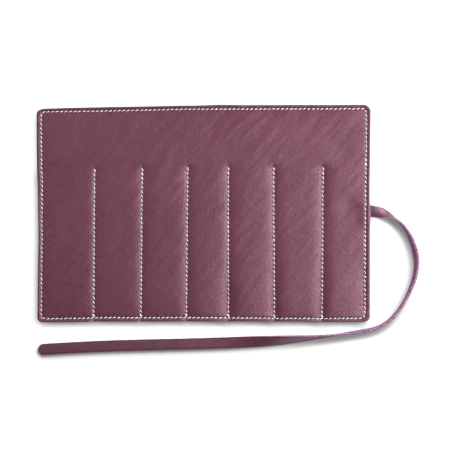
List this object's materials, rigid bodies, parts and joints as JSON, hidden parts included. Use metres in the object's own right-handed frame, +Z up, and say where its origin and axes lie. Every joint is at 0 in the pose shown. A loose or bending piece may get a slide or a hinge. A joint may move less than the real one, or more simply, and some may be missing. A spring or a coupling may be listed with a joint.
{
  "type": "pencil case",
  "caption": "Leather pencil roll with sewn pockets on its inner side and a tie strap, unrolled flat; it rolls up along its divider seams.",
  "frame": {"origin": "centre of the case's outline, on the surface that it lies on", "axes": "+X along the row of pockets towards the edge with the tie strap, +Y from the pocket bottoms to their mouths, +Z up through the outer cover"},
  "size_m": [0.364, 0.2374, 0.0115],
  "materials": {
    "cover_leather": "smooth plum leather, semi-matt",
    "lining_leather": "thin suede",
    "pocket_leather": "smooth plum leather, semi-matt",
    "thread": "waxed white thread",
    "strap_leather": "smooth plum leather with raw cut edges"
  },
  "bodies": {
    "bay_1": {"cover_1": "cover_leather", "lining_1": "lining_leather", "pocket_1": "pocket_leather", "edge_stitching_1": "thread"},
    "bay_2": {"cover_2": "cover_leather", "lining_2": "lining_leather", "pocket_2": "pocket_leather", "edge_stitching_2": "thread", "divider_stitching_1": "thread"},
    "bay_3": {"cover_3": "cover_leather", "lining_3": "lining_leather", "pocket_3": "pocket_leather", "edge_stitching_3": "thread", "divider_stitching_2": "thread"},
    "bay_4": {"cover_4": "cover_leather", "lining_4": "lining_leather", "pocket_4": "pocket_leather", "edge_stitching_4": "thread", "divider_stitching_3": "thread"},
    "bay_5": {"cover_5": "cover_leather", "lining_5": "lining_leather", "pocket_5": "pocket_leather", "edge_stitching_5": "thread", "divider_stitching_4": "thread"},
    "bay_6": {"cover_6": "cover_leather", "lining_6": "lining_leather", "pocket_6": "pocket_leather", "edge_stitching_6": "thread", "divider_stitching_5": "thread"},
    "bay_7": {"cover_7": "cover_leather", "lining_7": "lining_leather", "pocket_7": "pocket_leather", "edge_stitching_7": "thread", "divider_stitching_6": "thread", "strap_anchor": "strap_leather", "tie_strap": "strap_leather"}
  },
  "joints": [
    {"name": "fold_6", "type": "hinge", "parent": "bay_7", "child": "bay_6", "pos_m": [0.114, 0, 0.0054], "axis": [0, -1, 0], "range_deg": [0, 76]},
    {"name": "fold_5", "type": "hinge", "parent": "bay_6", "child": "bay_5", "pos_m": [0.068, 0, 0.0054], "axis": [0, -1, 0], "range_deg": [0, 57]},
    {"name": "fold_4", "type": "hinge", "parent": "bay_5", "child": "bay_4", "pos_m": [0.024, 0, 0.0054], "axis": [0, -1, 0], "range_deg": [0, 74]},
    {"name": "fold_3", "type": "hinge", "parent": "bay_4", "child": "bay_3", "pos_m": [-0.016, 0, 0.0054], "axis": [0, -1, 0], "range_deg": [0, 64]},
    {"name": "fold_2", "type": "hinge", "parent": "bay_3", "child": "bay_2", "pos_m": [-0.059, 0, 0.0054], "axis": [0, -1, 0], "range_deg": [0, 86]},
    {"name": "fold_1", "type": "hinge", "parent": "bay_2", "child": "bay_1", "pos_m": [-0.104, 0, 0.0054], "axis": [0, -1, 0], "range_deg": [0, 110]}
  ],
  "couplings": [
    {"joint": "fold_5", "follows": "fold_6", "ratio": 0.74},
    {"joint": "fold_4", "follows": "fold_6", "ratio": 0.97},
    {"joint": "fold_3", "follows": "fold_6", "ratio": 0.83},
    {"joint": "fold_2", "follows": "fold_6", "ratio": 1.13},
    {"joint": "fold_1", "follows": "fold_6", "ratio": 1.44}
  ]
}
